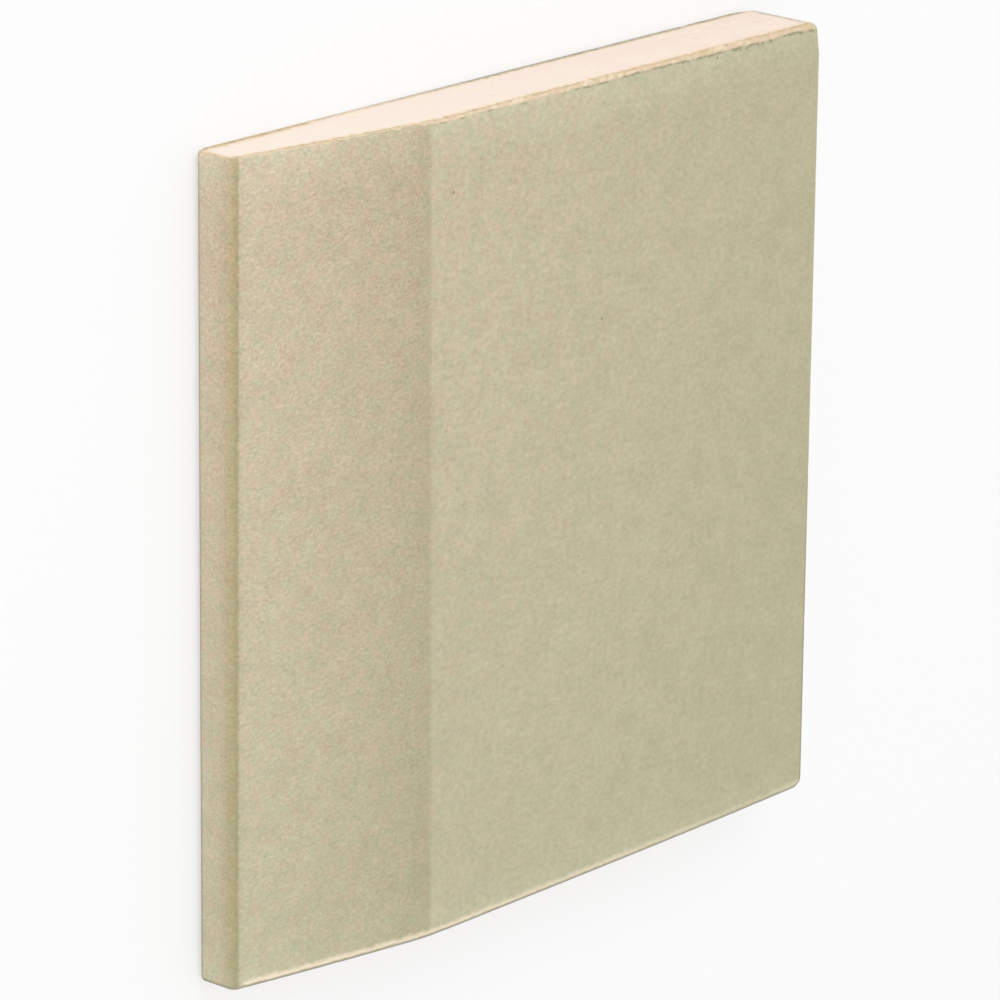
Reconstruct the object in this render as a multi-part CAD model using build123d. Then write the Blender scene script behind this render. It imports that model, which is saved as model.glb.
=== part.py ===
from build123d import *
import os

# Drywall sheet: a square piece cut from the edge of a tapered gypsum board.
# Lengths are millimetres. X runs across the board from the factory edge at -X to the cut side at +X.
# Y runs along the factory edge, and Z through the thickness with the face side up.
# The origin is the middle of the back, on the surface that the board lies on.

# Whole piece
board_width = 152.4             # factory edge to the cut side
board_length = 152.4            # cut end to cut end, along the factory edge
board_thickness = 15.9          # back to face, away from the taper
cut_corner_radius = 2.0         # the cut side's two upright corners, knocked round
rasped_radius = 5.0             # the core's back edge at the cut side, where the back paper is gone

# Tapered factory edge
taper_width = 44.0              # factory edge to the crease, where taper and flat face would meet
crease_radius = 60.0            # soft bend from the taper to the flat face
edge_thickness = 8.8            # back to face at the factory edge, before its corners are rounded
core_face_radius = 1.0          # core's rounding under the paper where the edge meets the taper
core_back_radius = 0.7          # core's rounding under the paper where the edge meets the back

# Papers
face_paper_thickness = 0.5      # sheet that covers the face, wraps the edge and folds under the back
back_paper_thickness = 0.4      # sheet that covers the back
flap_width = 28.0               # face paper folded under, measured from the factory edge
back_lap = 25.5                 # back paper glued over the flap

# Places worked out from those sizes
factory_x = -board_width / 2
cut_x = board_width / 2
end_y = board_length / 2
crease_x = factory_x + taper_width
flap_end_x = factory_x + flap_width
back_paper_x = flap_end_x - back_lap
back_paper_end_x = cut_x - rasped_radius
flap_bottom_z = back_paper_thickness
flap_top_z = flap_bottom_z + face_paper_thickness


# Flat outlines
def box_outline(low_x, low_y, high_x, high_y):
    """Rectangle between two corners."""
    middle = ((low_x + high_x) / 2, (low_y + high_y) / 2)
    return Pos(*middle) * Rectangle(high_x - low_x, high_y - low_y)


def round_corner(outline, corner, radius):
    """Round the corner of an outline that lies at a given point."""
    nearest = outline.vertices().sort_by_distance(corner)[0]
    return fillet(nearest, radius)


# Section across the board, drawn with X across and the thickness upward
def wrapped_section(side_x):
    """Everything inside the face paper's outer surface, as far as side_x."""
    back_corner = (factory_x, flap_bottom_z)
    face_corner = (factory_x, edge_thickness)
    crease = (crease_x, board_thickness)
    outline = Polyline(
        back_corner, face_corner, crease, (side_x, board_thickness), (side_x, flap_bottom_z), close=True
    )
    section = round_corner(make_face(outline), crease, crease_radius)
    section = round_corner(section, back_corner, core_back_radius + face_paper_thickness)
    return round_corner(section, face_corner, core_face_radius + face_paper_thickness)


def core_section():
    """Gypsum: one paper inside the wrapped outline, and down to the back paper past the flap."""
    inside_the_wrap = offset(wrapped_section(cut_x + face_paper_thickness), -face_paper_thickness)
    past_the_flap = box_outline(flap_end_x, flap_bottom_z, cut_x, flap_top_z)
    return round_corner(inside_the_wrap + past_the_flap, (cut_x, flap_bottom_z), rasped_radius)


def face_paper_section():
    """Face, taper, edge wrap and folded flap in one sheet."""
    rasped_off = box_outline(back_paper_end_x, flap_bottom_z, cut_x, flap_bottom_z + rasped_radius)
    return wrapped_section(cut_x) - core_section() - rasped_off


def back_paper_section():
    """Flat sheet that laps the flap and stops short of the factory edge and of the rasped edge."""
    return box_outline(back_paper_x, 0, back_paper_end_x, back_paper_thickness)


# Solids along the board
def cut_plan():
    """The board from above, with the cut side's corners knocked round."""
    plan = box_outline(factory_x, -end_y, cut_x, end_y)
    for y in (-end_y, end_y):
        plan = round_corner(plan, (cut_x, y), cut_corner_radius)
    return extrude(plan, board_thickness)


def board_piece(section):
    """Run a section from cut end to cut end, inside the board's plan."""
    return extrude(Plane.XZ * section, end_y, both=True) & cut_plan()


pieces = {
    "gypsum_core": board_piece(core_section()),
    "face_paper": board_piece(face_paper_section()),
    "back_paper": board_piece(back_paper_section()),
}

os.makedirs("parts", exist_ok=True)
for node, piece in pieces.items():
    piece.label = node
    export_step(piece, f"parts/{node}.step")
    print(f"{node}: {piece.volume:.1f} mm3")
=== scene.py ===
import itertools
import math

import bmesh
import bpy
import numpy as np
from mathutils import Matrix, Vector


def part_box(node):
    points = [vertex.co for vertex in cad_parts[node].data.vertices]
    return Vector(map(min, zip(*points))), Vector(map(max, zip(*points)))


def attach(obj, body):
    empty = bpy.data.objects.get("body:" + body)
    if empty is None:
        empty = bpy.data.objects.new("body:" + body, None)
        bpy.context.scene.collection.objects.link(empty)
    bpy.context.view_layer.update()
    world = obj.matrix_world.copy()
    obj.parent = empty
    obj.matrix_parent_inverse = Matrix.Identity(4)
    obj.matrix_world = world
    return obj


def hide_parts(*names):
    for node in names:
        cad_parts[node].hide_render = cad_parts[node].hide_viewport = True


# Looks of a drywall sheet: a square piece of tapered gypsum board that lies face up.
# Lengths are millimetres until a mesh, lamp or camera is made. X runs from the factory edge to the cut side,
# Y along the factory edge and Z up through the thickness, as in the frame.

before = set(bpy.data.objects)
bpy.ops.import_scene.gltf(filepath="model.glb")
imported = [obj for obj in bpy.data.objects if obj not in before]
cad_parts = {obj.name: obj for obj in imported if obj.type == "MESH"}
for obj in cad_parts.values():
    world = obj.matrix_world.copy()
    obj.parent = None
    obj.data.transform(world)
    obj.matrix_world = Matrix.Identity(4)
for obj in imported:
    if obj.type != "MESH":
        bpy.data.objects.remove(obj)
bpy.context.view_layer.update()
MM = 0.001


def node_box(node):
    """Lowest and highest corner of a node, in millimetres."""
    low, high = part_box(node)
    return np.array(low) / MM, np.array(high) / MM


def screen(red, green, blue):
    """Linear colour of a screen colour given from 0 to 255."""
    share = np.array([red, green, blue]) / 255
    linear = np.where(share <= 0.04045, share / 12.92, ((share + 0.055) / 1.055) ** 2.4)
    return (*linear.tolist(), 1.0)


# Sizes of the board, read from the frame
paper_low, paper_high = node_box("face_paper")
core_low = node_box("gypsum_core")[0]
back_low, back_high = node_box("back_paper")
factory_x = paper_low[0]
cut_x = paper_high[0]
end_y = paper_high[1]
face_z = paper_high[2]
face_paper = core_low[0] - paper_low[0]  # thickness
back_paper = back_high[2]                # thickness
back_paper_x = back_low[0]
rasped_x = back_high[0]

# Sizes of the section that no box gives
taper_width = 44.0
crease_radius = 60.0
edge_thickness = 8.8
core_face_radius = 1.0
core_back_radius = 0.7
flap_width = 28.0
cut_corner_radius = 2.0

# Places worked out from those sizes
crease_x = factory_x + taper_width
flap_end_x = factory_x + flap_width
taper_rise = (face_z - edge_thickness) / taper_width
taper_angle = math.atan(taper_rise)
flat_x = crease_x + crease_radius * math.tan(taper_angle / 2)
crease_arc_z = face_z - crease_radius
face_radius = core_face_radius + face_paper
back_radius = core_back_radius + face_paper
face_arc_x = factory_x + face_radius
face_arc_z = edge_thickness + taper_rise * face_radius - face_radius / math.cos(taper_angle)
back_arc_x = factory_x + back_radius
back_arc_z = back_paper + back_radius
rasped_radius = cut_x - rasped_x

# Mesh spacing
paper_spacing = 1.2        # papers, away from the cuts
back_spacing = 2.4         # back paper, across the board
border_width = 2.3         # strip along the cuts that is meshed finer
border_cuts = 3            # each spacing in that strip is cut into one more than this
core_spacing = 0.34        # cut faces of the core
on_cut = core_spacing / 2  # a point of the core nearer to a cut than this lies on it
flap_step_share = 0.01     # width of the core's step at the flap's end beside that spacing
arc_steps = 8              # spans round each bend of the face paper
sharp_angle = math.radians(38)
tiny = 1e-9                # keeps a divisor off zero

# Wear of the papers
taper_fray = 0.36       # strip of the taper beside the upper cut where the outer ply is gone
flat_fray = 0.62        # the same on the flat face, next to the crease
corner_fray = 1.25      # the same at the cut side
fray_swing_share = 0.5  # how far that strip's width in the mesh swings
fray_step_share = 0.25  # share of it in which the outer ply ends
fray_curve = 1.5        # power by which the bared plies slope
ply_step = 0.07         # thickness of the outer ply
edge_drop = 0.16        # how far the bared plies slope down to the cut
deepest_share = 0.8     # share of the paper's thickness that wear can take
feather_width = 2.2     # strip of the back paper that thins out toward the rasped edge
feather_share = 0.85    # share of its thickness that is gone at the end
side_roll = 0.08        # how far the paper rolls over at the cut side
side_roll_width = 1.2   # strip in which it rolls
cockle_depth = 0.03     # waviness of the glued paper
rim_recess = 0.07       # deepest ordinary hollow in a paper's cut line
recess_cell = 1.1       # size of such hollows
nick_depth = 0.20       # deepest nick in it
nick_cell = 2.3         # size of nicks
clean_cut_share = 0.35  # how rough the lower end and the cut side are beside the upper end

# Wear of the core and the whole board
core_dust = 0.08        # unevenness of the sawn core
pore_depth = 0.20       # depth of the core's large bubbles
small_pore_share = 0.4  # depth of its small ones beside those
crumble_depth = 0.14    # core lost along its edges, next to the papers
crumble_width = 0.8     # strip in which it is lost
corner_grey_reach = 2.2      # how far the cut side's darker grey reaches round its upper corner
grey_fade_share = 0.4  # how slowly that grey fades along the cut side
worn_length = 6.3       # how far wear reaches from the cut side's upper corner
worn_depth = 0.95       # how far it takes the side back there
bow_depth = 0.54        # how far the lower cut's two ends lie inside its middle
bow_x = -15.0           # where its middle is
bow_curve = 3           # power by which it bows

# Noise of the meshes
fray_noise = {"cell": 1.6, "seed": 3}                 # unevenness of the frayed strip
cockle_noise = {"cell": 14.0, "seed": 5}              # waves of the glued paper
dust_noise = {"cell": 2.4, "seed": 61}                # unevenness of the sawn core
pore_noise = {"cell": 0.85, "seed": 71, "layers": 2}  # small bubbles
hole_noise = {"cell": 2.6, "seed": 81}                # large bubbles
crumble_noise = {"cell": 1.3, "seed": 91}             # crumbled edges
face_cut_seeds = {"rough_seed": 11, "nick_seed": 31}
back_cut_seeds = {"rough_seed": 41, "nick_seed": 61}
lattice_steps = np.array([1, 57, 131])
lattice_size = 8191

# Values of that noise between which a mark grows from nothing to its full depth
nick_band = (0.6, 0.95)
pore_band = (0.42, 0.72)
hole_band = (0.72, 0.92)
crumble_band = (0.35, 0.85)

# Paper tones across the board, with painted shade on the factory edge, round its corner and at the crease:
# how far from the factory edge's corner, over the face or down the edge
paper_tones = [
    (-7.8, screen(172, 163, 138)),   # painted shade on the rim beside the back
    (-7.4, screen(209, 198, 171)),   # factory edge, with painted shade growing toward its corner
    (-3.2, screen(204, 191, 162)),
    (-1.6, screen(197, 183, 151)),
    (0.8, screen(176, 164, 127)),    # painted shade band round its corner
    (1.45, screen(171, 160, 125)),
    (1.9, screen(197, 187, 157)),    # taper
    (3.4, screen(201, 190, 162)),
    (38.0, screen(190, 179, 149)),
    (49.92, screen(182, 172, 142)),  # crease: painted shade, as the taper takes less light than the flat face
    (50.95, screen(195, 186, 157)),  # flat face
    (159.0, screen(184, 179, 147)),
]
crease_lean = 1.3              # how far the crease's tone line strays from the factory edge at the lower end
corner_leans = (-0.3, 0.35)    # the same for the painted shade band by the edge's corner, at the lower and upper end
corner_full_width = 5.0        # strip beside the factory edge in which that band leans in full
corner_fade_width = 20.0       # strip past which nothing leans with it
rim_z = 2.0                    # height on the factory edge from which it starts to lean
band_z = 6.5                   # height at which it leans in full
crease_blur = 2.5              # how far beside the crease the two textures mix
upper_tint = (1.05, 1.005, 1.025, 1.0)
lower_tint = (0.95, 0.995, 0.975, 1.0)
end_tint_shares = (1.0, 0.4)   # strength of those two at the crease and the cut side
dust_tint = (1.09, 1.135, 1.16, 1.0)
dust_width = 9.5               # strip beside an end cut that is whitened by dust
dust_shares = (0.45, 1.0)      # strength of the dust at the lower and the upper end
dust_turn_shares = (0.4, 0.6)  # shares of the length between which one gives way to the other

# Face paper's texture. Values of a noise that lie in its band are mapped to its shares, or else to 0 and 1.
pink_tint = (1.063, 0.979, 0.992, 1.0)
green_tint = (0.937, 1.021, 1.008, 1.0)
blotch_noise = {"cell": 2.4, "detail": 1.5, "band": (0.3, 0.7)}
grain_noise = {"cell": 0.42, "detail": 1.0, "stretch": 1.3, "turn": math.radians(-8), "shift": 31.0}
slant_noise = {"cell": 0.60, "detail": 1.5, "stretch": 1.5, "turn": math.radians(10), "shift": 7.0}
level_noise = {"cell": 1.0, "detail": 1.5, "stretch": 1.3, "turn": math.radians(-5), "shift": 19.0}
cloud_noise = {"cell": 4.5, "detail": 3.0, "shift": 77.0, "shares": (0.90, 1.10)}
grain_shares = (0.80, 1.20)
slant_shares = (0.76, 1.24)
level_shares = (0.80, 1.20)
lively_end_shares = (0.55, 1.0)   # liveliness at the lower and the upper end
lively_side_shares = (1.0, 0.5)   # liveliness at the crease and the cut side
lively_band = (0.3, 1.0)          # liveliness between which the flat face's texture grows
flat_blotch_shares = (0.05, 1.0)  # strength of the blotches there
flat_level_shares = (0.65, 1.05)  # strength of the fibres there
taper_blotch_share = 0.8          # strength of the blotches on the taper
grain_zone_shares = (1.0, 0.7)    # strength of the grain on the taper and the flat face
slant_end_shares = (0.8, 1.0)     # strength of the taper's fibres at the lower and the upper end
level_height_share = 0.5          # height of the flat face's fibres beside the others
paper_relief = 0.045              # height of the finest relief
paper_roughness = 0.88
paper_shine = 0.25

# Upper cut of the face paper, whose plies, seam and painted shadow marks are placed in shares of the frayed
# strip
thinned_noise = {"cell": 2.2, "shift": 70.0, "band": (0.35, 0.65), "shares": (0.3, 1.7)}
edge_fray_shares = (0.5, 1.0)      # width of the fray on the factory edge and past it
swing_noise = {"cell": 7.0, "detail": 1.0, "shift": 88.0, "band": (0.3, 0.7), "shares": (-0.15, 0.15)}
uneven_noise = {"cell": 0.9, "shift": 3.0, "band": (0.2, 0.8), "shares": (0.85, 1.15)}
inner_ply = screen(238, 218, 191)
worn_ply = screen(217, 198, 164)
worn_noise = {"cell": 1.8, "shift": 63.0}
worn_band = (0.44, 0.62)
worn_side_share = 0.12             # how much the worn ply gains toward the cut side
rosy_ply = screen(226, 199, 170)
rosy_noise = {"cell": 2.7, "shift": 29.0, "band": (0.48, 0.62), "shares": (0.0, 0.8)}
taper_ply = screen(225, 205, 173)
ply_reach_shares = (1.2, 0.75)     # where the bared ply starts and where it is full
seam_brown = screen(203, 177, 142)
seam_noise = {"cell": 1.5, "shift": 45.0, "band": (0.42, 0.58)}
seam_reach_shares = (0.3, 0.1)
seam_share = 0.8
fray_shadow = screen(139, 131, 103)
mark_noise = {"cell": 2.0, "shift": 12.0, "band": (0.5, 0.6)}
mark_inside_shares = (0.75, 1.0)   # where the painted shadow marks grow from the ply outward
mark_outside_shares = (1.5, 1.15)  # where they end on the paper
mark_zone_shares = (0.35, 0.55)    # strength of the marks on the taper and the flat face
mark_side_share = 0.22             # how much they gain toward the cut side

# Lower cut and cut side of the face paper
lower_ply = screen(250, 233, 207)
lower_fray = 1.78                 # pale strip beside the lower cut
lower_full = 0.87                 # part of it that is fully pale
foot_noise = {"cell": 1.6, "shift": 54.0, "band": (0.3, 0.7), "shares": (0.85, 1.2)}
taper_pale_shares = (1.0, 0.78)   # strength of the strip at the factory edge and the crease
flat_pale_shares = (1.0, 0.25)    # how it fades from the crease to the cut side
corner_pale = 16.0                # stretch of it beside the cut side that is paler again
corner_pale_share = 0.35          # strength of the strip there
# painted shade where the paper rounds over the lower cut
lower_rim_shade = screen(168, 163, 143)
lower_rim_reach = (0.782, 0.322)  # gaps at which the painted shade on the lower cut's rim starts and is full
# painted shade where the cut side's paper rolls over, paler toward the upper end
side_rim_shade = screen(146, 143, 124)
side_pale = screen(193, 187, 160)
side_turn_shares = (0.25, 0.5)    # shares of the length between which the side's rim turns pale
side_rim = 0.70                   # painted shade on the rolled-over rim of the cut side
side_rim_share = 0.9

# Dark flecks on the flat face: two out on it and three beside the upper cut
stray_fleck = screen(120, 98, 78)
stray_places = [(-26.9, 62.4), (14.1, 31.0), (45.9, 74.2), (52.6, 74.6), (54.5, 74.5)]
stray_radius = 0.42
stray_share = 0.8

# Back paper
back_grey = screen(171, 160, 138)
back_light = screen(190, 179, 156)
back_fibre_noise = {"cell": 0.6, "detail": 3.0, "stretch": 3.0, "turn": math.radians(90)}
back_fibre_band = (0.35, 0.65)
back_cloud_noise = {"cell": 8.0, "detail": 3.0, "shift": 9.0, "shares": (0.93, 1.07)}
back_fleck = screen(120, 110, 94)
back_flecks = {"cell": 1.25, "radius": 0.28, "chance_share": 0.12}
back_fleck_share = 0.6
back_rim_pale = screen(222, 203, 176)
back_rim_grey = screen(178, 171, 150)
back_rim_reach = (0.3, 0.0)  # gaps at which the rim of its cuts starts and is full
back_rim_share = 0.9
back_relief = 0.03
back_roughness = 0.9
back_shine = 0.2

# Gypsum: each reach holds the gaps at which a stain starts and at which it is full
gypsum = screen(244, 231, 221)
gypsum_far = screen(240, 221, 208)
gypsum_warm = screen(243, 229, 212)
patch_noise = {"cell": 6.0, "detail": 3.0, "band": (0.45, 0.75)}
core_grain_noise = {"cell": 0.6, "detail": 3.0, "shift": 5.0, "shares": (0.95, 1.05)}
ragged_noise = {"cell": 1.4, "detail": 3.0, "shift": 51.0, "band": (0.3, 0.7)}
ragged_swing = (-0.35, 0.45)     # how far the stains' edges swing
glue_halo = screen(238, 218, 189)
halo_reach = (1.9, 0.7)
halo_share = 0.6
glue_stain = screen(208, 183, 148)
stain_reach = (0.6, 0.2)
stain_share = 0.85
back_stain_near = screen(216, 198, 172)
back_stain_far = screen(184, 177, 156)
back_growth_shares = (0.4, 1.0)  # strength of the back's stains at the flap and past the middle
back_halo_reach = (1.8, 0.9)
back_halo_share = 0.7
back_stain_reach = (1.1, 0.55)
back_stain_share = 0.8
# darker grey along the rasped edge and round the cut side's upper corner
rasped_edge_grey = screen(184, 179, 161)
rim_reach = (1.5, 0.1)
edge_grey_noise = {"cell": 2.2, "detail": 3.0, "shift": 37.0, "band": (0.35, 0.6), "shares": (0.45, 0.9)}
pore_shade = screen(222, 203, 184)
hollow_band = (0.35, 0.9)        # depths, beside the deepest, between which painted shade darkens a hollow
hollow_share = 0.7
core_bump_noise = {"cell": 0.4, "detail": 3.0, "shift": 17.0}
core_relief = 0.05
core_roughness = 0.9
core_shine = 0.2

# Stage, lamp and camera, in metres and watts, but lens and sensor in millimetres
floor_reach = 6.0
floor_gap = 0.0001      # how far the floor lies under the board
floor_white = (0.93, 0.93, 0.93, 1.0)
floor_glow_share = 0.6  # share of the floor's look that is plain white where it is seen
dome_white = (1.0, 1.0, 1.0, 1.0)
dome_strength = 0.86    # light that the surroundings give
seen_strength = 1.0     # their brightness where they are seen
key_power = 4.5
key_size = 0.9
key_place = (-0.30, 0.95, 0.90)
camera_place = (-0.81999, 0.33475, 0.71650)
camera_aim = (-0.01351, 0.00274, 0.01579)
camera_up = (0.21711, 0.95490, -0.20257)
camera_lens = 223.75
camera_sensor = 36.0
camera_far = 100.0


# Noise and easing
def smooth_noise(points, cell, seed):
    """Value noise from -1 to 1 at rows of coordinates, in lattice cells of a size."""
    points = np.asarray(points, float) / cell
    table = np.random.default_rng(seed).uniform(-1, 1, lattice_size)
    corner_at = np.floor(points).astype(int)
    part = points - corner_at
    part = part * part * (3 - 2 * part)
    steps = lattice_steps[: points.shape[1]]
    total = np.zeros(len(points))
    for corner in itertools.product((0, 1), repeat=points.shape[1]):
        weight = np.prod(np.where(corner, part, 1 - part), axis=1)
        total += weight * table[((corner_at + corner) @ steps) % lattice_size]
    return total


def layered_noise(points, cell, seed, layers=3):
    """Smooth noise with finer, weaker layers added, from about -1 to 1."""
    total = sum(smooth_noise(points, cell / 2**k, seed + k) / 2**k for k in range(layers))
    return total / sum(1 / 2**k for k in range(layers))


def as_share(noise):
    """Noise from -1 to 1 as a share from 0 to 1."""
    return (1 + noise) / 2


def ease(value):
    """Smooth step from 0 to 1."""
    value = np.clip(value, 0, 1)
    return value * value * (3 - 2 * value)


def ease_between(value, band):
    """Smooth step from 0 to 1 between the two values of a band."""
    low, high = band
    return ease((value - low) / (high - low))


def nearness(gap, reach):
    """1 where there is no gap, falling evenly to 0 at the reach."""
    return np.clip(1 - gap / reach, 0, 1)


# Outline of the board
def stepped(breaks, spacing):
    """The given places, with even steps no longer than spacing between them."""
    places = [breaks[0]]
    for start, end in zip(breaks, breaks[1:]):
        steps = math.ceil(abs(end - start) / spacing)
        places += list(np.linspace(start, end, steps + 1)[1:])
    return np.array(places)


def arc(centre_x, centre_z, radius, start, end):
    """Places round an arc of the section, each with the angle of its normal."""
    angles = np.linspace(start, end, arc_steps + 1)
    return [(centre_x + radius * math.cos(a), centre_z + radius * math.sin(a), a) for a in angles]


def wrap_path():
    """Outer surface of the face paper across the board: length so far, x, z and the normal's angle.

    It runs from the cut side over the face, the taper and the factory edge to the end of the flap."""
    up, left, down = math.pi / 2, math.pi, 3 * math.pi / 2
    taper_normal = up + taper_angle
    points = [(cut_x, face_z, up)]
    points += arc(flat_x, crease_arc_z, crease_radius, up, taper_normal)
    points += arc(face_arc_x, face_arc_z, face_radius, taper_normal, left)
    points += arc(back_arc_x, back_arc_z, back_radius, left, down)
    points.append((flap_end_x, back_paper, down))
    x, z, angle = np.array(points).T
    along = np.concatenate([[0], np.cumsum(np.hypot(np.diff(x), np.diff(z)))])
    return along, x, z, angle


def face_side(x):
    """Height of the core's face side at x."""
    taper = edge_thickness + taper_rise * (x - factory_x) - face_paper / math.cos(taper_angle)
    bend_radius = crease_radius - face_paper
    bend_width = bend_radius * math.sin(taper_angle)
    reach = np.clip(flat_x - x, 0, bend_width)
    height = np.where(x < flat_x - bend_width, taper, crease_arc_z + np.sqrt(bend_radius**2 - reach**2))
    reach = np.clip(face_arc_x - x, 0, core_face_radius)
    bent = face_arc_z + np.sqrt(core_face_radius**2 - reach**2)
    touch = face_arc_x - core_face_radius * math.sin(taper_angle)
    return np.where(x < touch, bent, height)


def back_side(x):
    """Height of the core's back side at x: above the flap, and down on the back paper past it."""
    reach = np.clip(back_arc_x - x, 0, core_back_radius)
    bent = back_arc_z - np.sqrt(core_back_radius**2 - reach**2)
    return np.where(x > flap_end_x, back_paper, bent)


def round_off(first, second, radius):
    """Draw a square corner in to its radius: the distances in from its two sides that result."""
    u = 1 - first / radius
    v = 1 - second / radius
    corner = (u > 0) & (v > 0)
    pull = np.where(corner, np.maximum(u, v) / np.maximum(np.hypot(u, v), tiny), 1)
    return radius * (1 - u * pull), radius * (1 - v * pull)


def round_cut_corners(x, y):
    """Round the two upright corners of the cut side."""
    side_gap, end_gap = round_off(cut_x - x, end_y - np.abs(y), cut_corner_radius)
    return cut_x - side_gap, np.where(y < 0, end_gap - end_y, end_y - end_gap)


def wear_corner(x, y, z):
    """Wear the cut side's upper corner back, most at the face: the new x."""
    along = nearness(end_y - y, worn_length)
    across = nearness(cut_x - x, worn_length)
    return x - worn_depth * along * across * np.clip(z / face_z, 0, 1)


def bow_lower_cut(x, y):
    """Draw the two ends of the lower cut in, as it isn't sawn quite straight: the new y."""
    reach = np.where(x < bow_x, bow_x - factory_x, cut_x - bow_x)
    return y + bow_depth * np.abs((x - bow_x) / reach) ** bow_curve * np.clip(-y / end_y, 0, 1)


# Mesh helpers
def bordered_grid(stations, rows, in_border):
    """Grid over two lists of places, finer where in_border says so: its points and its faces."""
    bm = bmesh.new()
    lines = [[bm.verts.new((station, y, 0)) for y in rows] for station in stations]
    for line, next_line in zip(lines, lines[1:]):
        for corners in zip(line, next_line, next_line[1:], line[1:]):
            bm.faces.new(corners)
    border = {f for f in bm.faces if in_border(*f.calc_center_median()[:2])}
    edges = [e for e in bm.edges if any(f in border for f in e.link_faces)]
    bmesh.ops.subdivide_edges(bm, edges=edges, cuts=border_cuts, use_grid_fill=True)
    bmesh.ops.poke(bm, faces=[f for f in bm.faces if len(f.verts) > 4])
    bm.verts.index_update()
    points = np.array([v.co[:2] for v in bm.verts])
    faces = [[v.index for v in f.verts] for f in bm.faces]
    bm.free()
    return points, faces


def rim_edges(faces):
    """Directed edges that only one face uses."""
    edges = set()
    for face in faces:
        edges.update(zip(face, face[1:] + face[:1]))
    return [(a, b) for a, b in edges if (b, a) not in edges]


def thin_sheet(outer, inner, faces):
    """Points and faces of a closed sheet between two surfaces that share their faces."""
    count = len(outer)
    closed = [face[::-1] for face in faces]
    closed += [[i + count for i in face] for face in faces]
    closed += [[a, b, b + count, a + count] for a, b in sorted(rim_edges(faces))]
    return np.concatenate([outer, inner]), closed


def make_piece(name, points, faces, values, material, node):
    """Turn points in millimetres into a piece of the scene that stands for a node."""
    mesh = bpy.data.meshes.new(name)
    mesh.from_pydata((np.asarray(points) * MM).tolist(), [], faces)
    for key, numbers in values.items():
        attribute = mesh.attributes.new(key, "FLOAT", "POINT")
        attribute.data.foreach_set("value", np.asarray(numbers, np.float32))
    mesh.polygons.foreach_set("use_smooth", np.ones(len(mesh.polygons), bool))
    mesh.set_sharp_from_angle(angle=sharp_angle)
    mesh.validate()
    piece = bpy.data.objects.new(name, mesh)
    bpy.context.scene.collection.objects.link(piece)
    mesh.materials.append(material)
    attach(piece, "root")
    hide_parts(node)


# Papers
def cut_recess(x, y, rough_seed, nick_seed):
    """How far a paper's cut line is worn back at each place: a rough line with a few nicks."""
    around = np.stack([x, y], 1)
    rough = as_share(layered_noise(around, recess_cell, rough_seed))
    nicks = ease_between(smooth_noise(around, nick_cell, nick_seed), nick_band)
    recess = rim_recess * rough + (nick_depth - rim_recess) * nicks
    upper = ease((y - end_y + border_width) / border_width)
    return recess * (clean_cut_share + (1 - clean_cut_share) * upper)


def pull_in(x, y, side_gap, end_gap, cut_seeds):
    """Move the places close to a cut in by the recess of its cut line."""
    recess = cut_recess(x, y, **cut_seeds)
    recess = recess * np.clip(np.maximum(side_gap, end_gap) / border_width, 0, 1)
    reach = border_width / 2
    x = x - recess * nearness(side_gap, reach)
    y = y - np.sign(y) * recess * nearness(end_gap, reach)
    return x, y


def face_paper_drop(along, y, side_gap, end_gap):
    """How far the worn face paper lies under its new surface."""
    around = np.stack([along, y], 1)
    fray_width = flat_fray * (1 + fray_swing_share * layered_noise(around, **fray_noise))
    frayed = nearness(end_gap, fray_width)
    fray = ply_step * ease(frayed / fray_step_share) + edge_drop * frayed**fray_curve
    roll = side_roll * nearness(side_gap, side_roll_width) ** 2
    cockle = cockle_depth * as_share(smooth_noise(around, **cockle_noise))
    return np.minimum(np.maximum(fray, roll) + cockle, deepest_share * face_paper)


def make_face_paper(material):
    """Face, taper, edge wrap and flap in one sheet, with frayed cuts."""
    path_along, path_x, path_z, path_angle = wrap_path()
    stations = stepped(path_along, paper_spacing)
    rows = stepped([-end_y, end_y], paper_spacing)

    def in_border(along, y):
        return along < border_width or end_y - abs(y) < border_width

    places, faces = bordered_grid(stations, rows, in_border)
    along, y = places.T
    x = np.interp(along, path_along, path_x)
    z = np.interp(along, path_along, path_z)
    angle = np.interp(along, path_along, path_angle)
    side_gap, end_gap = along, end_y - np.abs(y)
    drop = face_paper_drop(along, y, side_gap, end_gap)

    x, y = round_cut_corners(x, y)
    x, y = pull_in(x, y, side_gap, end_gap, face_cut_seeds)
    x = wear_corner(x, y, z)
    y = bow_lower_cut(x, y)
    outer = np.stack([x - np.cos(angle) * drop, y, z - np.sin(angle) * drop], 1)
    inner = np.stack([x - np.cos(angle) * face_paper, y, z - np.sin(angle) * face_paper], 1)
    points, closed = thin_sheet(outer, inner, faces)
    values = {"side_gap": np.tile(side_gap, 2), "end_gap": np.tile(end_gap, 2)}
    make_piece("face_paper_sheet", points, closed, values, material, "face_paper")


def make_back_paper(material):
    """Flat sheet under the board, with rough cuts, a feathered side and one clean edge."""
    stations = stepped([rasped_x, back_paper_x], back_spacing)
    rows = stepped([end_y, -end_y], paper_spacing)

    def in_border(x, y):
        return rasped_x - x < border_width or end_y - abs(y) < border_width

    places, faces = bordered_grid(stations, rows, in_border)
    x, y = places.T
    side_gap, end_gap = rasped_x - x, end_y - np.abs(y)
    x, y = pull_in(x, y, side_gap, end_gap, back_cut_seeds)
    y = bow_lower_cut(x, y)
    feather = feather_share * back_paper * ease(1 - side_gap / feather_width)
    outer = np.stack([x, y, feather], 1)
    inner = np.stack([x, y, np.full(len(x), back_paper)], 1)
    points, closed = thin_sheet(outer, inner, faces)
    values = {"cut_gap": np.tile(np.minimum(side_gap, end_gap), 2)}
    make_piece("back_paper_sheet", points, closed, values, material, "back_paper")


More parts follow.
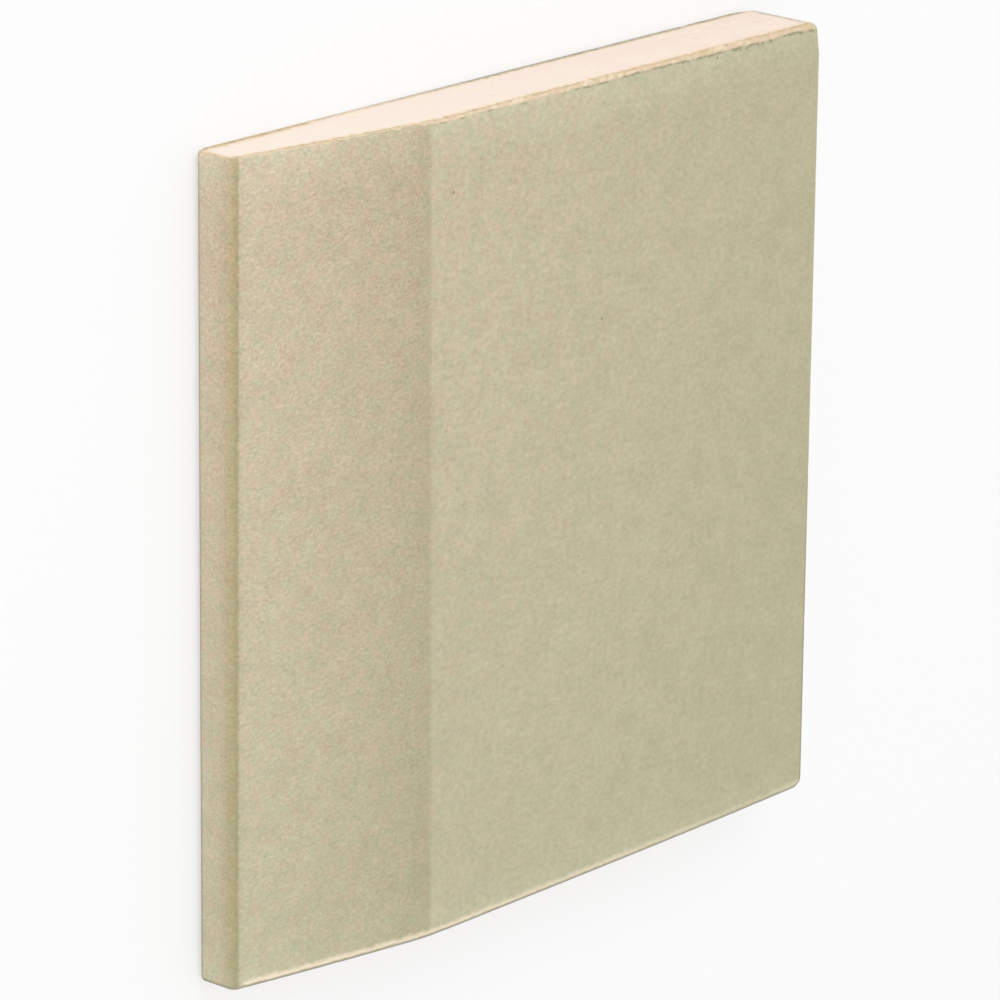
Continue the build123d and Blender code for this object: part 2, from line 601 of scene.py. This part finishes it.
# Core
def core_grid():
    """Points and faces of the core with square corners.

    Columns of points run along the +Y end, the cut side and the -Y end, and a strip under the cut side
    joins them."""
    quarter_turn = np.linspace(0, math.pi / 2, arc_steps + 1)
    bend = core_low[0] + core_face_radius * (1 - np.cos(quarter_turn))
    flap_step = flap_step_share * core_spacing
    breaks = [flap_end_x - flap_step, flap_end_x + flap_step, rasped_x, cut_x - cut_corner_radius, cut_x]
    end_x = stepped(list(bend) + breaks, core_spacing)
    side_y = stepped([end_y, cut_corner_radius - end_y, -end_y], core_spacing)
    count, across = len(end_x), len(side_y)
    x = np.concatenate([end_x, np.full(across - 2, cut_x), end_x[::-1]])
    y = np.concatenate([np.full(count, end_y), side_y[1:-1], np.full(count, -end_y)])
    columns = len(x)
    rows = math.ceil((face_z - back_paper) / core_spacing)
    level = np.linspace(0, 1, rows + 1)
    low, high = back_side(x), face_side(x)
    z = low[:, None] + (high - low)[:, None] * level
    wall = np.stack([np.broadcast_to(x[:, None], z.shape), np.broadcast_to(y[:, None], z.shape), z], 2)

    first = int(np.searchsorted(end_x, rasped_x - flap_step))
    strip_x, strip_y = np.meshgrid(end_x[first:-1], side_y[1:-1], indexing="ij")
    strip = np.stack([strip_x, strip_y, np.full(strip_x.shape, back_paper)], 2)
    points = np.concatenate([wall.reshape(-1, 3), strip.reshape(-1, 3)])

    def at(column, row):
        """Point of the wall."""
        return column * (rows + 1) + row

    def under(k, j):
        """Point of the strip at the k-th end column and the j-th side column."""
        if j == 0:
            return at(k, 0)
        if j == across - 1:
            return at(columns - 1 - k, 0)
        if k == count - 1:
            return at(count - 1 + j, 0)
        return columns * (rows + 1) + (k - first) * (across - 2) + j - 1

    faces = []
    for c, r in itertools.product(range(columns - 1), range(rows)):
        faces.append([at(c, r), at(c, r + 1), at(c + 1, r + 1), at(c + 1, r)])
    for k, j in itertools.product(range(first, count - 1), range(across - 1)):
        faces.append([under(k, j), under(k + 1, j), under(k + 1, j + 1), under(k, j + 1)])
    for c in range(count - 1):
        opposite = columns - 1 - c
        faces.append([at(c, rows), at(opposite, rows), at(opposite - 1, rows), at(c + 1, rows)])
        if c < first - 1:
            faces.append([at(c, 0), at(c + 1, 0), at(opposite - 1, 0), at(opposite, 0)])
    faces.append([at(first - 1, 0)] + [under(first, j) for j in range(across)] + [at(columns - first, 0)])
    faces.append([at(c, rows) for c in range(columns - count, count - 2, -1)])
    for r in range(rows):
        faces.append([at(0, r), at(columns - 1, r), at(columns - 1, r + 1), at(0, r + 1)])
    return points, faces


def core_wear(places, gap):
    """How far each place on the cut faces lies inside the sawn plane."""
    grain = as_share(layered_noise(places, **dust_noise))
    pores = ease_between(layered_noise(places, **pore_noise), pore_band)
    holes = ease_between(smooth_noise(places, **hole_noise), hole_band)
    loose = as_share(layered_noise(places, **crumble_noise))
    crumbled = nearness(gap, crumble_width) * ease_between(loose, crumble_band)
    bubbles = np.maximum(small_pore_share * pores, holes)
    return core_dust * grain + pore_depth * bubbles + crumble_depth * crumbled


def core_normals(y, side_gap, end_gap, low_gap):
    """Directions out of the core's cut faces, turned evenly round the corners that get rounded."""
    on_end = end_gap < on_cut
    away_x = np.where(side_gap < on_cut, 1.0, 0.0)
    away_y = np.where(on_end, np.sign(y), 0.0)
    corner_u = nearness(side_gap, cut_corner_radius)
    corner_v = nearness(end_gap, cut_corner_radius)
    turned = (corner_u > 0) & (corner_v > 0)
    away_x = np.where(turned, corner_u, away_x)
    away_y = np.where(turned, np.sign(y) * corner_v, away_y)
    under_u = nearness(side_gap, rasped_radius)
    under_v = nearness(low_gap, rasped_radius)
    rounded = (under_u > 0) & (under_v > 0) & ~on_end
    away_x = np.where(rounded, under_u, away_x)
    away_z = np.where(rounded, -under_v, 0.0)
    away = np.stack([away_x, away_y, away_z], 1)
    return away / np.maximum(np.linalg.norm(away, axis=1, keepdims=True), tiny)


def make_core(material):
    """Gypsum slab whose cut faces carry the saw's roughness, bubbles and crumbled edges."""
    points, faces = core_grid()
    x, y, z = points.T
    side_gap, end_gap, low_gap = cut_x - x, end_y - np.abs(y), z - back_side(x)
    face_gap = np.minimum(face_side(x) - z, x - core_low[0])
    flap_gap = np.hypot(np.maximum(x - flap_end_x, 0), np.maximum(z - back_paper - face_paper, 0))
    back_gap = np.maximum(low_gap, x - rasped_x)
    edge_gap = np.minimum(side_gap, np.maximum(low_gap, rasped_x - x))
    away = core_normals(y, side_gap, end_gap, low_gap)
    sawn = (x > rasped_x + on_cut) | (end_gap < on_cut)
    depth = np.where(sawn, core_wear(points, np.minimum(face_gap, back_gap)), 0.0)

    side_gap, low_gap = round_off(side_gap, low_gap, rasped_radius)
    rim_gap = np.maximum(np.minimum(side_gap - corner_grey_reach, edge_gap), grey_fade_share * end_gap)
    values = {
        "paper_gap": np.minimum(face_gap, flap_gap),
        "back_gap": back_gap,
        "rim_gap": np.where(y > 0, rim_gap, rasped_radius),
        "hollow": depth / (core_dust + pore_depth),
    }
    x, z = cut_x - side_gap, back_side(x) + low_gap
    x, y = round_cut_corners(x, y)
    x = wear_corner(x, y, z)
    y = bow_lower_cut(x, y)
    worn = np.stack([x, y, z], 1) - away * depth[:, None]
    make_piece("gypsum_slab", worn, faces, values, material, "gypsum_core")


# Materials
class Nodes:
    """A material's nodes, with one short call for each kind used here."""

    def __init__(self, name):
        self.material = bpy.data.materials.new(name)
        self.material.use_nodes = True
        self.tree = self.material.node_tree
        self.tree.nodes.clear()
        coordinates = self.add("ShaderNodeTexCoord").outputs["Object"]
        scaled = self.add("ShaderNodeVectorMath", {"operation": "SCALE"}, {0: coordinates, "Scale": 1 / MM})
        self.place = scaled.outputs[0]
        split = self.add("ShaderNodeSeparateXYZ", {}, {0: self.place})
        self.x, self.y, self.z = split.outputs

    def add(self, kind, settings=None, inputs=None):
        """A node with its settings, whose inputs are linked to sockets or set to values."""
        node = self.tree.nodes.new(kind)
        for key, value in (settings or {}).items():
            setattr(node, key, value)
        for key, value in (inputs or {}).items():
            if isinstance(value, bpy.types.NodeSocket):
                self.tree.links.new(value, node.inputs[key])
            else:
                node.inputs[key].default_value = value
        return node

    def math(self, operation, first, second=0.0):
        return self.add("ShaderNodeMath", {"operation": operation}, {0: first, 1: second}).outputs[0]

    def plus(self, first, second):
        return self.math("ADD", first, second)

    def minus(self, first, second):
        return self.math("SUBTRACT", first, second)

    def times(self, *values):
        product = values[0]
        for value in values[1:]:
            product = self.math("MULTIPLY", product, value)
        return product

    def square(self, value, centre):
        """Square of the difference between a value and a number."""
        difference = self.minus(value, centre)
        return self.times(difference, difference)

    def span(self, value, low, high, start=0.0, end=1.0):
        """Value mapped from low..high to start..end, and held there."""
        inputs = {"Value": value, "From Min": low, "From Max": high, "To Min": start, "To Max": end}
        return self.add("ShaderNodeMapRange", {"clamp": True}, inputs).outputs[0]

    def fade(self, share, start, end):
        """From start to end as a share goes from 0 to 1."""
        return self.span(share, 0.0, 1.0, start, end)

    def noise(self, cell, detail=2.0, stretch=1.0, turn=0.0, shift=0.0, band=(0, 1), shares=(0, 1)):
        """Noise in cells of a size, drawn out by stretch toward turn, and mapped from band to shares."""
        inputs = {
            "Vector": self.place,
            "Location": (shift, shift, shift),
            "Rotation": (0, 0, turn),
            "Scale": (cell * stretch, cell, cell),
        }
        mapped = self.add("ShaderNodeMapping", {"vector_type": "TEXTURE"}, inputs).outputs[0]
        texture = self.add("ShaderNodeTexNoise", {}, {"Vector": mapped, "Scale": 1.0, "Detail": detail})
        return self.span(texture.outputs["Fac"], *band, *shares)

    def specks(self, cell, radius, chance_share):
        """Small round specks in a share of the cells of a given size."""
        texture = self.add("ShaderNodeTexVoronoi", {}, {"Vector": self.place, "Scale": 1 / cell})
        chance = self.add("ShaderNodeSeparateColor", {}, {0: texture.outputs["Color"]}).outputs[0]
        chosen = self.math("LESS_THAN", chance, chance_share)
        near = self.span(texture.outputs["Distance"], radius / cell, radius / cell / 2)
        return self.times(chosen, near)

    def value(self, name):
        """A number kept on the mesh."""
        return self.add("ShaderNodeAttribute", {"attribute_name": name}).outputs["Fac"]

    def mix(self, factor, first, second, blend="MIX"):
        """Two colours mixed, by a Mix node's sockets for colours."""
        settings = {"data_type": "RGBA", "blend_type": blend}
        return self.add("ShaderNodeMix", settings, {0: factor, 6: first, 7: second}).outputs[2]

    def tint(self, colour, other, factor=1.0):
        return self.mix(factor, colour, other, "MULTIPLY")

    def ramp(self, factor, stops):
        """Colours along a factor, from pairs of a share and a colour that start at 0 and end at 1."""
        node = self.add("ShaderNodeValToRGB", {}, {0: factor})
        elements = node.color_ramp.elements
        for position, colour in stops[1:-1]:
            elements.new(position)
        for element, (position, colour) in zip(elements, stops):
            element.position = position
            element.color = colour
        return node.outputs[0]

    def finish(self, colour, height, relief, roughness, shine):
        """The material, with a relief of the given height in millimetres."""
        relief_inputs = {"Height": height, "Strength": 1.0, "Distance": relief * MM}
        inputs = {
            "Base Color": colour,
            "Roughness": roughness,
            "Specular IOR Level": shine,
            "Normal": self.add("ShaderNodeBump", {}, relief_inputs).outputs[0],
        }
        surface = self.add("ShaderNodeBsdfPrincipled", {}, inputs)
        self.add("ShaderNodeOutputMaterial", {}, {"Surface": surface.outputs[0]})
        return self.material


def paper_zones(nodes):
    """Shares from 0 to 1: from taper to flat face, from crease to cut side, and from lower to upper end."""
    on_flat = nodes.span(nodes.x, crease_x - crease_blur, crease_x + crease_blur)
    to_side = nodes.span(nodes.x, crease_x, cut_x)
    upward = nodes.span(nodes.y, -end_y, end_y)
    return on_flat, to_side, upward


def past_edge(nodes):
    """0 on the factory edge and its corner, and 1 past them."""
    return nodes.span(nodes.x, factory_x + face_radius, factory_x + 2 * face_radius)


def tone_place(nodes, upward):
    """Where a place lies among the tones across the board, which lean a little along it."""
    across = nodes.plus(nodes.plus(nodes.x, nodes.z), -factory_x - edge_thickness)
    toward_crease = nodes.span(nodes.x, factory_x, crease_x)
    across = nodes.minus(across, nodes.times(nodes.fade(upward, 1.0, 0.0), toward_crease, crease_lean))
    beside_edge = nodes.span(nodes.x, factory_x + corner_fade_width, factory_x + corner_full_width)
    by_corner = nodes.times(beside_edge, nodes.span(nodes.z, rim_z, band_z))
    return nodes.minus(across, nodes.times(nodes.fade(upward, *corner_leans), by_corner))


def paper_tone(nodes):
    """Tones that run along the board, with painted shade on the factory edge, round its corner and at the
    crease, warmer toward the upper end and whitened by dust at the end cuts.
    """
    to_side, upward = paper_zones(nodes)[1:]
    low, high = paper_tones[0][0], paper_tones[-1][0]
    stops = [((place - low) / (high - low), colour) for place, colour in paper_tones]
    colour = nodes.ramp(nodes.span(tone_place(nodes, upward), low, high), stops)
    end_tint = nodes.mix(upward, lower_tint, upper_tint)
    colour = nodes.tint(colour, end_tint, nodes.fade(to_side, *end_tint_shares))
    dusty = nodes.span(nodes.value("end_gap"), dust_width, 0.0)
    dusty = nodes.times(dusty, nodes.span(upward, *dust_turn_shares, *dust_shares))
    return nodes.tint(colour, dust_tint, dusty)


def paper_texture(nodes, colour):
    """Mottling and fibres, livelier on the taper and at the upper end: colour and height."""
    on_flat, to_side, upward = paper_zones(nodes)
    on_taper = nodes.minus(1.0, on_flat)
    lively = nodes.times(nodes.fade(upward, *lively_end_shares), nodes.fade(to_side, *lively_side_shares))

    blotches = nodes.mix(nodes.noise(**blotch_noise), green_tint, pink_tint)
    blotch_part = nodes.times(on_flat, nodes.span(lively, *lively_band, *flat_blotch_shares))
    blotch_part = nodes.plus(nodes.times(on_taper, taper_blotch_share), blotch_part)
    colour = nodes.tint(colour, blotches, blotch_part)

    grain = nodes.noise(**grain_noise)
    grain_part = nodes.times(lively, nodes.fade(on_flat, *grain_zone_shares))
    colour = nodes.tint(colour, nodes.fade(grain, *grain_shares), grain_part)
    slanted = nodes.noise(**slant_noise)
    slant_part = nodes.times(on_taper, nodes.fade(upward, *slant_end_shares))
    colour = nodes.tint(colour, nodes.fade(slanted, *slant_shares), slant_part)
    level = nodes.noise(**level_noise)
    level_part = nodes.times(on_flat, nodes.span(lively, *lively_band, *flat_level_shares))
    colour = nodes.tint(colour, nodes.fade(level, *level_shares), level_part)
    colour = nodes.tint(colour, nodes.noise(**cloud_noise))

    height = nodes.plus(nodes.times(grain, grain_part), nodes.times(slanted, slant_part))
    return colour, nodes.plus(height, nodes.times(level, level_part, level_height_share))


def stray_flecks(nodes, colour):
    """Single dark flecks on the flat face."""
    for x, y in stray_places:
        away = nodes.math("SQRT", nodes.plus(nodes.square(nodes.x, x), nodes.square(nodes.y, y)))
        colour = nodes.mix(nodes.span(away, stray_radius, 0.0, 0.0, stray_share), colour, stray_fleck)
    return colour


def upper_cut(nodes, colour):
    """Bared plies, a broken brown seam and painted shadow marks under the torn outer ply along the upper
    cut.
    """
    on_flat, to_side = paper_zones(nodes)[:2]
    on_taper = nodes.minus(1.0, on_flat)
    at_top = nodes.math("GREATER_THAN", nodes.y, 0.0)

    # Gap to the cut as a share of the frayed strip's width
    fray_on_flat = nodes.times(on_flat, nodes.fade(to_side, flat_fray, corner_fray))
    fray_on_taper = nodes.times(on_taper, nodes.noise(**thinned_noise), taper_fray)
    width = nodes.plus(fray_on_flat, fray_on_taper)
    width = nodes.times(width, nodes.fade(past_edge(nodes), *edge_fray_shares))
    width = nodes.times(width, nodes.plus(nodes.noise(**uneven_noise), nodes.noise(**swing_noise)))
    share = nodes.math("DIVIDE", nodes.value("end_gap"), width)

    worn = nodes.plus(nodes.noise(**worn_noise), nodes.times(to_side, worn_side_share))
    ply = nodes.mix(nodes.span(worn, *worn_band), inner_ply, worn_ply)
    ply = nodes.mix(nodes.noise(**rosy_noise), ply, rosy_ply)
    ply = nodes.mix(on_flat, taper_ply, ply)
    colour = nodes.mix(nodes.times(at_top, nodes.span(share, *ply_reach_shares)), colour, ply)
    seam = nodes.times(nodes.span(share, *seam_reach_shares), nodes.noise(**seam_noise))
    colour = nodes.mix(nodes.times(at_top, seam, seam_share), colour, seam_brown)
    # painted shadow just past the bared ply, under the torn outer ply's edge
    line = nodes.times(nodes.span(share, *mark_inside_shares), nodes.span(share, *mark_outside_shares))
    marks = nodes.times(nodes.noise(**mark_noise), nodes.fade(on_flat, *mark_zone_shares))
    marks = nodes.plus(marks, nodes.times(to_side, mark_side_share))
    return nodes.mix(nodes.times(at_top, line, marks), colour, fray_shadow)


def lower_cut(nodes, colour):
    """Pale strip along the lower cut, with painted shade on its rim."""
    to_side = paper_zones(nodes)[1]
    at_foot = nodes.minus(1.0, nodes.math("GREATER_THAN", nodes.y, 0.0))
    gap = nodes.times(nodes.value("end_gap"), nodes.noise(**foot_noise))
    pale = nodes.span(nodes.x, factory_x, crease_x, *taper_pale_shares)
    pale = nodes.times(pale, nodes.fade(to_side, *flat_pale_shares))
    corner_start, corner_full = cut_x - corner_pale, cut_x - corner_pale / 2
    by_corner = nodes.span(nodes.x, corner_start, corner_full, 0.0, corner_pale_share)
    pale = nodes.math("MAXIMUM", pale, by_corner)
    pale = nodes.times(at_foot, past_edge(nodes), pale, nodes.span(gap, lower_fray, lower_full))
    colour = nodes.mix(pale, colour, lower_ply)
    # painted shade along the lower cut's rim
    return nodes.mix(nodes.times(at_foot, nodes.span(gap, *lower_rim_reach)), colour, lower_rim_shade)


def cut_side(nodes, colour):
    """Painted shade on the cut side's rolled-over rim, paler toward the upper end."""
    upward = paper_zones(nodes)[2]
    # painted shade on the cut side's rolled-over rim
    rim = nodes.mix(nodes.span(upward, *side_turn_shares), side_rim_shade, side_pale)
    return nodes.mix(nodes.span(nodes.value("side_gap"), side_rim, 0.0, 0.0, side_rim_share), colour, rim)


def face_paper_material():
    """Ivory paper with fibres, a few stray flecks and worn cuts, and painted shade on the factory edge, the
    crease and the cut rims.
    """
    nodes = Nodes("face_paper")
    colour, height = paper_texture(nodes, paper_tone(nodes))
    for add_marks in (stray_flecks, upper_cut, lower_cut, cut_side):
        colour = add_marks(nodes, colour)
    return nodes.finish(colour, height, paper_relief, paper_roughness, paper_shine)


def back_paper_material():
    """Grey recycled paper with light fibres and dark flecks, and its worn cuts."""
    nodes = Nodes("back_paper")
    fibres = nodes.noise(**back_fibre_noise)
    colour = nodes.mix(nodes.span(fibres, *back_fibre_band), back_grey, back_light)
    colour = nodes.tint(colour, nodes.noise(**back_cloud_noise))
    colour = nodes.mix(nodes.times(nodes.specks(**back_flecks), back_fleck_share), colour, back_fleck)
    rim = nodes.mix(nodes.span(nodes.x, flap_end_x, 0.0), back_rim_pale, back_rim_grey)
    by_cut = nodes.span(nodes.value("cut_gap"), *back_rim_reach, 0.0, back_rim_share)
    colour = nodes.mix(by_cut, colour, rim)
    return nodes.finish(colour, fibres, back_relief, back_roughness, back_shine)


def gypsum_material():
    """Pinkish white gypsum with fine bubbles, stained where it meets the papers."""
    nodes = Nodes("gypsum")
    colour = nodes.mix(nodes.span(nodes.x, factory_x, cut_x), gypsum, gypsum_far)
    colour = nodes.mix(nodes.noise(**patch_noise), colour, gypsum_warm)
    colour = nodes.tint(colour, nodes.noise(**core_grain_noise))
    ragged = nodes.fade(nodes.noise(**ragged_noise), *ragged_swing)

    # Under the face paper
    gap = nodes.plus(nodes.value("paper_gap"), ragged)
    colour = nodes.mix(nodes.span(gap, *halo_reach, 0.0, halo_share), colour, glue_halo)
    colour = nodes.mix(nodes.span(gap, *stain_reach, 0.0, stain_share), colour, glue_stain)

    # Over the back paper, growing from the flap to the middle of the board
    gap = nodes.plus(nodes.value("back_gap"), ragged)
    growth = nodes.span(nodes.x, flap_end_x, 0.0, *back_growth_shares)
    halo = nodes.times(nodes.span(gap, *back_halo_reach, 0.0, back_halo_share), growth)
    colour = nodes.mix(halo, colour, glue_halo)
    stain = nodes.times(nodes.span(gap, *back_stain_reach, 0.0, back_stain_share), growth)
    back_stain = nodes.mix(nodes.span(nodes.x, flap_end_x, 0.0), back_stain_near, back_stain_far)
    colour = nodes.mix(stain, colour, back_stain)

    # Darker grey along the rasped edge and round the cut side's upper corner, and painted shade in the
    # hollows
    gap = nodes.plus(nodes.value("rim_gap"), ragged)
    edge_grey = nodes.times(nodes.span(gap, *rim_reach), nodes.noise(**edge_grey_noise))
    colour = nodes.mix(edge_grey, colour, rasped_edge_grey)
    # painted shade in the bubbles and crumbled hollows, darker the deeper they are
    hollow = nodes.span(nodes.value("hollow"), *hollow_band, 0.0, hollow_share)
    colour = nodes.mix(hollow, colour, pore_shade)
    return nodes.finish(colour, nodes.noise(**core_bump_noise), core_relief, core_roughness, core_shine)


# Stage, lamp and camera
def seen_rays(tree):
    """1 for rays that show the surroundings: straight from the camera, or through gloss or glass."""
    path = tree.nodes.new("ShaderNodeLightPath")
    total = path.outputs["Is Camera Ray"]
    for name in ("Is Glossy Ray", "Is Transmission Ray"):
        node = tree.nodes.new("ShaderNodeMath")
        node.operation = "MAXIMUM"
        tree.links.new(total, node.inputs[0])
        tree.links.new(path.outputs[name], node.inputs[1])
        total = node.outputs[0]
    return total


def floor_material():
    """Matte white, with some plain white mixed in where it is seen."""
    material = bpy.data.materials.new("floor")
    material.use_nodes = True
    tree = material.node_tree
    tree.nodes.clear()
    matte = tree.nodes.new("ShaderNodeBsdfDiffuse")
    matte.inputs["Color"].default_value = floor_white
    glow = tree.nodes.new("ShaderNodeEmission")
    share = tree.nodes.new("ShaderNodeMath")
    share.operation = "MULTIPLY"
    share.inputs[1].default_value = floor_glow_share
    tree.links.new(seen_rays(tree), share.inputs[0])
    blend = tree.nodes.new("ShaderNodeMixShader")
    for socket, source in zip(blend.inputs, (share, matte, glow)):
        tree.links.new(source.outputs[0], socket)
    output = tree.nodes.new("ShaderNodeOutputMaterial")
    tree.links.new(blend.outputs[0], output.inputs["Surface"])
    return material


def make_floor():
    """White floor that keeps a soft shadow, a hair under the board so that the two share no plane."""
    mesh = bpy.data.meshes.new("floor")
    r = floor_reach
    mesh.from_pydata([(-r, -r, 0), (r, -r, 0), (r, r, 0), (-r, r, 0)], [], [(0, 1, 2, 3)])
    mesh.materials.append(floor_material())
    floor = bpy.data.objects.new("floor", mesh)
    floor.location.z = -floor_gap
    bpy.context.scene.collection.objects.link(floor)


def make_world():
    """White surroundings that light the board evenly."""
    world = bpy.data.worlds.new("studio")
    bpy.context.scene.world = world
    world.use_nodes = True
    tree = world.node_tree
    background = tree.nodes["Background"]
    background.inputs["Color"].default_value = dome_white
    strength = tree.nodes.new("ShaderNodeMapRange")
    strength.inputs["To Min"].default_value = dome_strength
    strength.inputs["To Max"].default_value = seen_strength
    tree.links.new(seen_rays(tree), strength.inputs["Value"])
    tree.links.new(strength.outputs[0], background.inputs["Strength"])


def make_key_light():
    """One broad soft lamp past the upper end of the board."""
    lamp = bpy.data.lights.new("key", "AREA")
    lamp.shape = "DISK"
    lamp.size = key_size
    lamp.energy = key_power
    key = bpy.data.objects.new("key", lamp)
    key.location = key_place
    key.rotation_euler = (-Vector(key_place)).to_track_quat("-Z", "Y").to_euler()
    bpy.context.scene.collection.objects.link(key)


def make_camera():
    """Long lens at the photograph's angle, with the board's +Y close to the picture's up."""
    camera = bpy.data.objects.new("camera", bpy.data.cameras.new("camera"))
    camera.data.lens = camera_lens
    camera.data.sensor_width = camera_sensor
    camera.data.sensor_fit = "HORIZONTAL"
    camera.data.clip_end = camera_far
    backward = (Vector(camera_place) - Vector(camera_aim)).normalized()
    right = Vector(camera_up).cross(backward).normalized()
    up = backward.cross(right)
    turn = Matrix((right, up, backward)).transposed()
    camera.matrix_world = Matrix.Translation(camera_place) @ turn.to_4x4()
    bpy.context.scene.collection.objects.link(camera)
    bpy.context.scene.camera = camera


make_face_paper(face_paper_material())
make_core(gypsum_material())
make_back_paper(back_paper_material())
make_floor()
make_world()
make_key_light()
make_camera()
bpy.context.scene.view_settings.view_transform = "Standard"
